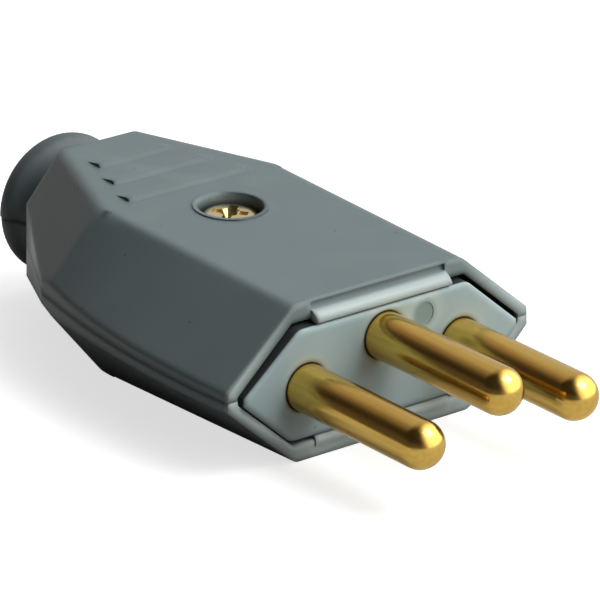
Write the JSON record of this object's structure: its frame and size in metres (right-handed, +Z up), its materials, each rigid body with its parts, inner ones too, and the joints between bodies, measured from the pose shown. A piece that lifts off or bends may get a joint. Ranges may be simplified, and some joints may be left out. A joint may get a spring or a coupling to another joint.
{
  "type": "three-pin plug",
  "caption": "Rewireable mains plug with a faceted grey body in two screwed halves, round brass pins in a separate front insert, grip steps and a round collar for the cord.",
  "frame": {"origin": "on the surface the plug lies on, under the middle of the whole plug's box", "axes": "the pins point along -Y, 1.49 degrees below level because the plug lies on its sloping underside; the collar for the cord is at +Y; +Z up, on the side with the body screw's head; +X to the right seen from the cord's end"},
  "size_m": [0.0378, 0.0722, 0.0177],
  "materials": {
    "shell_plastic": "fine satin moulded grain, grey",
    "carrier_plastic": "satin moulded, slightly lighter grey",
    "pin_brass": "turned and polished",
    "terminal_brass": "turned",
    "zinc_steel": "yellow zinc plating",
    "clamp_plastic": "plain moulded, dark grey"
  },
  "bodies": {
    "root": {"upper_shell": "shell_plastic", "lower_shell": "shell_plastic", "pin_carrier": "carrier_plastic", "pin_retainer": "carrier_plastic", "pin_line": "pin_brass", "pin_neutral": "pin_brass", "pin_earth": "pin_brass", "terminal_screw_line": "terminal_brass", "terminal_screw_neutral": "terminal_brass", "terminal_screw_earth": "terminal_brass", "body_screw": "zinc_steel", "body_nut": "zinc_steel", "cord_clamp": "clamp_plastic", "clamp_screw_left": "zinc_steel", "clamp_screw_right": "zinc_steel"}
  },
  "joints": []
}
